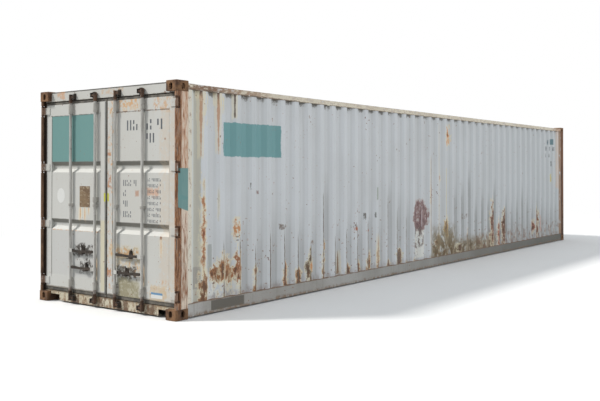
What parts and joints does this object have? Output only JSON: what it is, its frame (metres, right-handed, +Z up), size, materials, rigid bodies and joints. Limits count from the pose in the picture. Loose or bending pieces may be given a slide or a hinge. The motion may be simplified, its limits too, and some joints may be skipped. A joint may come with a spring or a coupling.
{
  "type": "shipping container",
  "caption": "Steel freight container with corrugated walls, two swinging doors with lock rods, and slotted corner castings.",
  "frame": {"origin": "middle of the underside, level with the bottom faces of the bottom corner castings", "axes": "+X along the length from the doors to the blind front end, +Y to the left seen from the doors, +Z up"},
  "size_m": [12.192, 2.438, 2.591],
  "materials": {
    "wall_paint": "matt, weathered",
    "door_paint": "matt, weathered",
    "rusty_frame": "rusted paint",
    "corner_castings": "rusted",
    "lock_gear": "dull galvanised",
    "rusty_forgings": "rusted",
    "door_seal": "matt",
    "floor_ply": "worn plywood",
    "underframe": "dark coating",
    "roof_paint": "matt, weathered"
  },
  "bodies": {
    "box": {"bottom_corner_castings": "corner_castings", "top_corner_castings": "corner_castings", "left_door_post": "rusty_frame", "right_door_post": "rusty_frame", "left_front_post": "rusty_frame", "right_front_post": "rusty_frame", "door_header": "door_paint", "door_sill": "door_paint", "front_top_rail": "wall_paint", "front_bottom_rail": "wall_paint", "left_top_rail": "wall_paint", "right_top_rail": "wall_paint", "left_bottom_rail": "wall_paint", "right_bottom_rail": "wall_paint", "left_side_wall": "wall_paint", "right_side_wall": "wall_paint", "front_wall": "wall_paint", "roof": "roof_paint", "roof_corner_plates": "roof_paint", "cross_members": "underframe", "gooseneck_tunnel": "underframe", "floor": "floor_ply", "cam_keepers": "rusty_forgings", "hinge_lugs": "rusty_frame"},
    "left_door": {"left_door_frame": "door_paint", "left_door_panel": "door_paint", "left_door_seal": "door_seal", "left_door_hinge_blades": "door_paint", "left_door_rod_brackets": "lock_gear", "left_door_handle_retainers": "rusty_forgings"},
    "left_outer_rod": {"left_outer_lock_rod": "lock_gear", "left_outer_rod_cams": "rusty_forgings"},
    "left_outer_handle_arm": {"left_outer_handle": "rusty_forgings"},
    "left_inner_rod": {"left_inner_lock_rod": "lock_gear", "left_inner_rod_cams": "rusty_forgings"},
    "left_inner_handle_arm": {"left_inner_handle": "rusty_forgings"},
    "right_door": {"right_door_frame": "door_paint", "right_door_panel": "door_paint", "right_door_seal": "door_seal", "right_door_hinge_blades": "door_paint", "right_door_rod_brackets": "lock_gear", "right_door_handle_retainers": "rusty_forgings"},
    "right_outer_rod": {"right_outer_lock_rod": "lock_gear", "right_outer_rod_cams": "rusty_forgings"},
    "right_outer_handle_arm": {"right_outer_handle": "rusty_forgings"},
    "right_inner_rod": {"right_inner_lock_rod": "lock_gear", "right_inner_rod_cams": "rusty_forgings"},
    "right_inner_handle_arm": {"right_inner_handle": "rusty_forgings"}
  },
  "joints": [
    {"name": "left_door_hinge", "type": "hinge", "parent": "box", "child": "left_door", "pos_m": [-6.073, 1.196, 1.3], "axis": [0, 0, 1], "range_deg": [-265, 0]},
    {"name": "left_outer_rod_turn", "type": "hinge", "parent": "left_door", "child": "left_outer_rod", "pos_m": [-6.066, 0.642, 1.3], "axis": [0, 0, -1], "range_deg": [0, 100]},
    {"name": "left_outer_handle_lift", "type": "hinge", "parent": "left_outer_rod", "child": "left_outer_handle_arm", "pos_m": [-6.073, 0.6, 0.651], "axis": [-1, 0, 0], "range_deg": [0, 18]},
    {"name": "left_inner_rod_turn", "type": "hinge", "parent": "left_door", "child": "left_inner_rod", "pos_m": [-6.066, 0.18, 1.3], "axis": [0, 0, 1], "range_deg": [0, 100]},
    {"name": "left_inner_handle_lift", "type": "hinge", "parent": "left_inner_rod", "child": "left_inner_handle_arm", "pos_m": [-6.073, 0.222, 0.451], "axis": [1, 0, 0], "range_deg": [0, 18]},
    {"name": "right_door_hinge", "type": "hinge", "parent": "box", "child": "right_door", "pos_m": [-6.073, -1.196, 1.3], "axis": [0, 0, -1], "range_deg": [-265, 0]},
    {"name": "right_outer_rod_turn", "type": "hinge", "parent": "right_door", "child": "right_outer_rod", "pos_m": [-6.066, -0.642, 1.3], "axis": [0, 0, 1], "range_deg": [0, 100]},
    {"name": "right_outer_handle_lift", "type": "hinge", "parent": "right_outer_rod", "child": "right_outer_handle_arm", "pos_m": [-6.073, -0.6, 0.651], "axis": [1, 0, 0], "range_deg": [0, 18]},
    {"name": "right_inner_rod_turn", "type": "hinge", "parent": "right_door", "child": "right_inner_rod", "pos_m": [-6.066, -0.18, 1.3], "axis": [0, 0, -1], "range_deg": [0, 100]},
    {"name": "right_inner_handle_lift", "type": "hinge", "parent": "right_inner_rod", "child": "right_inner_handle_arm", "pos_m": [-6.073, -0.222, 0.451], "axis": [-1, 0, 0], "range_deg": [0, 18]}
  ]
}
